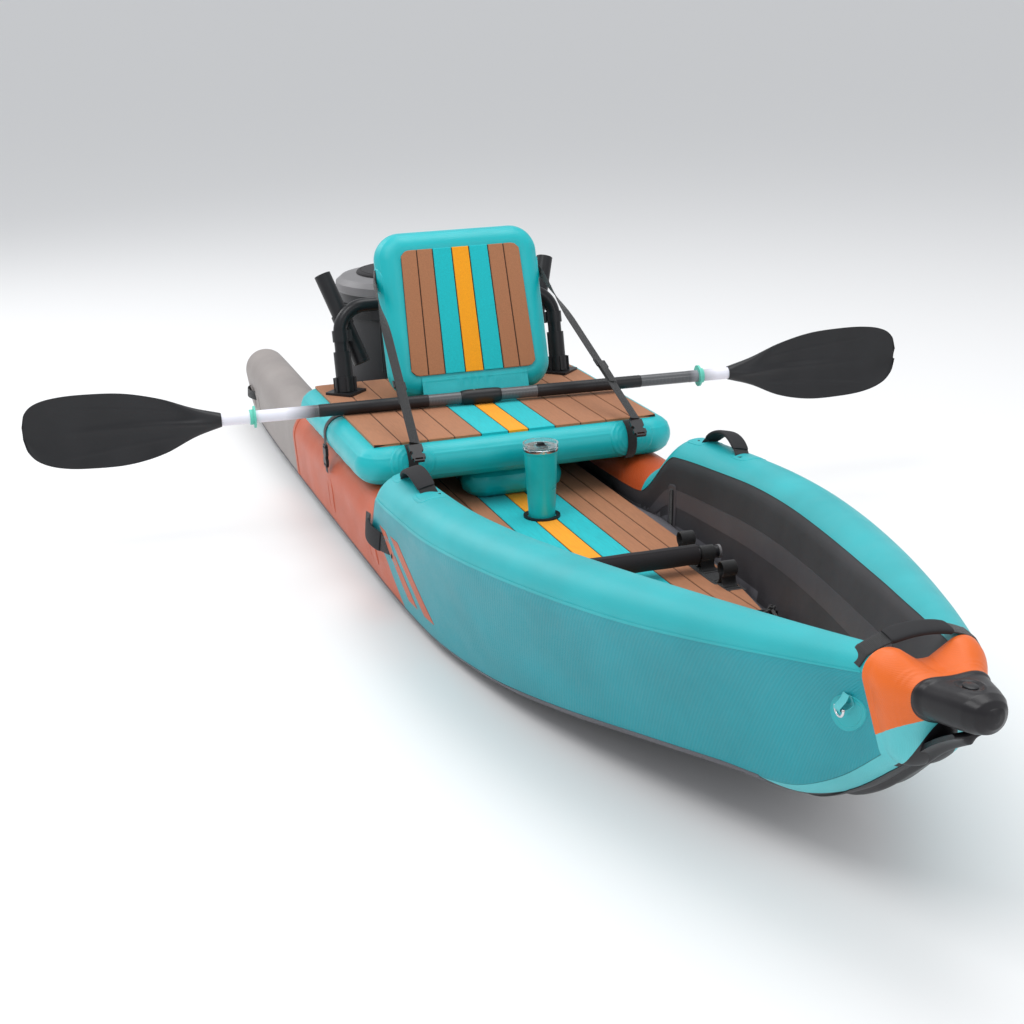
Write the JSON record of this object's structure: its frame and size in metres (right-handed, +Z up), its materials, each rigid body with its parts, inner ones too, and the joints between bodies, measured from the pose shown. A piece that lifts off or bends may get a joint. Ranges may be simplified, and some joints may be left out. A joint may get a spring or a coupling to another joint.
{
  "type": "inflatable kayak",
  "caption": "Inflatable sit-in kayak with side chambers, padded floor, bench seat with folding backrest, gear rack with rod holders, cooler, tumbler and take-apart paddle.",
  "frame": {"origin": "on the ground under the middle of the hull", "axes": "+X to the bow, +Y to port, +Z up"},
  "size_m": [3.81, 2.3929, 0.7769],
  "materials": {
    "hull_fabric": "woven PVC-coated drop-stitch fabric, satin",
    "nose_rubber": "moulded rubber, satin",
    "collar_fabric": "coated fabric, satin",
    "floor_fabric": "coated fabric, satin",
    "deck_foam": "brushed closed-cell foam, matt",
    "webbing": "woven polyester webbing, matt",
    "black_plastic": "moulded plastic, satin",
    "grey_plastic": "moulded plastic, satin",
    "orange_plastic": "moulded plastic, satin",
    "steel": "stainless steel, polished",
    "rack_metal": "black powder coat over aluminium",
    "foam_roll": "foam rubber, matt",
    "elastic": "braided elastic cord",
    "seat_fabric": "coated drop-stitch fabric, satin",
    "cup_paint": "powder coat over stainless steel",
    "clear_plastic": "clear plastic, glossy",
    "carbon": "carbon fibre tube, satin",
    "blade_plastic": "fibre-filled nylon, satin",
    "drip_rubber": "soft rubber, matt",
    "cooler_shell": "moulded plastic, satin"
  },
  "bodies": {
    "hull": {"floor_chamber": "floor_fabric", "side_chamber_port": "hull_fabric", "side_chamber_starboard": "hull_fabric", "nose_collar": "collar_fabric", "nose_cap": "nose_rubber", "keel_guard": "nose_rubber", "floor_pad": "deck_foam", "cup_ring": "black_plastic", "bow_handle": "webbing", "gunwale_handles": "webbing", "side_handles": "webbing", "stern_handles": "webbing", "valve_bodies": "grey_plastic", "brace_ladders": "webbing", "bungee": "elastic", "bungee_anchors": "black_plastic", "wall_slots": "black_plastic", "bench_platform": "seat_fabric", "bench_pad": "deck_foam", "bench_bolster": "seat_fabric", "bench_straps": "webbing", "bench_buckles": "black_plastic", "backrest_straps": "webbing", "strap_sliders": "black_plastic", "strap_buckles": "black_plastic", "rack_bases": "black_plastic"},
    "backrest": {"backrest_panel": "seat_fabric", "backrest_pad": "deck_foam", "backrest_flap": "seat_fabric", "backrest_valve": "grey_plastic"},
    "rack": {"rack_arch": "rack_metal", "rod_holders": "black_plastic", "holder_clamps": "black_plastic"},
    "cooler": {"cooler_bucket": "cooler_shell", "cooler_strap": "webbing"},
    "cooler_top": {"cooler_lid": "grey_plastic", "cooler_pad": "foam_roll"},
    "tumbler": {"tumbler_cup": "cup_paint"},
    "tumbler_top": {"tumbler_lid": "clear_plastic"},
    "tumbler_gate": {"tumbler_slider": "black_plastic"},
    "paddle": {"shaft_starboard": "carbon", "blade_starboard": "blade_plastic", "ferrule": "black_plastic", "drip_ring_starboard": "drip_rubber"},
    "paddle_port_half": {"shaft_port": "carbon", "blade_port": "blade_plastic", "drip_ring_port": "drip_rubber"},
    "paddle_button": {"ferrule_button": "steel"},
    "foot_brace": {"brace_tube": "rack_metal", "brace_foam": "foam_roll", "brace_caps": "grey_plastic"},
    "ring_port": {"bow_ring_port": "steel"},
    "ring_starboard": {"bow_ring_starboard": "steel"},
    "floor_cap": {"floor_valve_cap": "black_plastic"},
    "floor_poppet": {"floor_valve_poppet": "orange_plastic"},
    "port_cap": {"port_valve_cap": "black_plastic"},
    "starboard_cap": {"starboard_valve_cap": "black_plastic"}
  },
  "joints": [
    {"name": "backrest_fold", "type": "hinge", "parent": "hull", "child": "backrest", "pos_m": [-0.536, 0, 0.341], "axis": [0, 1, 0], "range_deg": [0, 40]},
    {"name": "rack_pull_out", "type": "slide", "parent": "hull", "child": "rack", "axis": [-0.2079, 0, 0.9781], "range_m": [0, 0.1]},
    {"name": "cooler_lift", "type": "slide", "parent": "hull", "child": "cooler", "axis": [0, 0, 1], "range_m": [0, 0.2]},
    {"name": "cooler_lid_lift", "type": "slide", "parent": "cooler", "child": "cooler_top", "axis": [0, 0, 1], "range_m": [0, 0.12]},
    {"name": "tumbler_lift", "type": "slide", "parent": "hull", "child": "tumbler", "axis": [0, 0, 1], "range_m": [0, 0.15]},
    {"name": "tumbler_lid_lift", "type": "slide", "parent": "tumbler", "child": "tumbler_top", "axis": [0, 0, 1], "range_m": [0, 0.05]},
    {"name": "tumbler_gate_slide", "type": "slide", "parent": "tumbler_top", "child": "tumbler_gate", "axis": [-1, 0, 0], "range_m": [0, 0.014]},
    {"name": "paddle_lift", "type": "slide", "parent": "hull", "child": "paddle", "axis": [0.5, 0, 0.866], "range_m": [0, 0.1]},
    {"name": "paddle_feather", "type": "hinge", "parent": "paddle", "child": "paddle_port_half", "pos_m": [-0.488, 0, 0.3595], "axis": [0.0802, 0.9967, 0.0087], "range_deg": [-60, 60]},
    {"name": "paddle_button_press", "type": "slide", "parent": "paddle", "child": "paddle_button", "axis": [0.0007, 0.0087, -1], "range_m": [0, 0.003], "stiffness_N_per_m": 400},
    {"name": "foot_brace_turn", "type": "hinge", "parent": "hull", "child": "foot_brace", "pos_m": [0.49, 0, 0.197], "axis": [0, 1, 0], "continuous": true},
    {"name": "ring_port_swing", "type": "hinge", "parent": "hull", "child": "ring_port", "pos_m": [1.676, 0.12, 0.372], "axis": [1, 0, 0], "range_deg": [0, 150]},
    {"name": "ring_starboard_swing", "type": "hinge", "parent": "hull", "child": "ring_starboard", "pos_m": [1.676, -0.12, 0.372], "axis": [-1, 0, 0], "range_deg": [0, 150]},
    {"name": "floor_cap_turn", "type": "hinge", "parent": "hull", "child": "floor_cap", "pos_m": [-1.435, 0, 0.166], "axis": [0, 0, 1], "range_deg": [0, 90]},
    {"name": "floor_poppet_press", "type": "slide", "parent": "hull", "child": "floor_poppet", "axis": [0, 0, -1], "range_m": [0, 0.0025], "stiffness_N_per_m": 400},
    {"name": "port_cap_turn", "type": "hinge", "parent": "hull", "child": "port_cap", "pos_m": [-1.64, 0.28497, 0.118], "axis": [0, -0.9945, 0.1045], "range_deg": [0, 90]},
    {"name": "starboard_cap_turn", "type": "hinge", "parent": "hull", "child": "starboard_cap", "pos_m": [-1.64, -0.28497, 0.118], "axis": [0, 0.9945, 0.1045], "range_deg": [0, 90]}
  ]
}
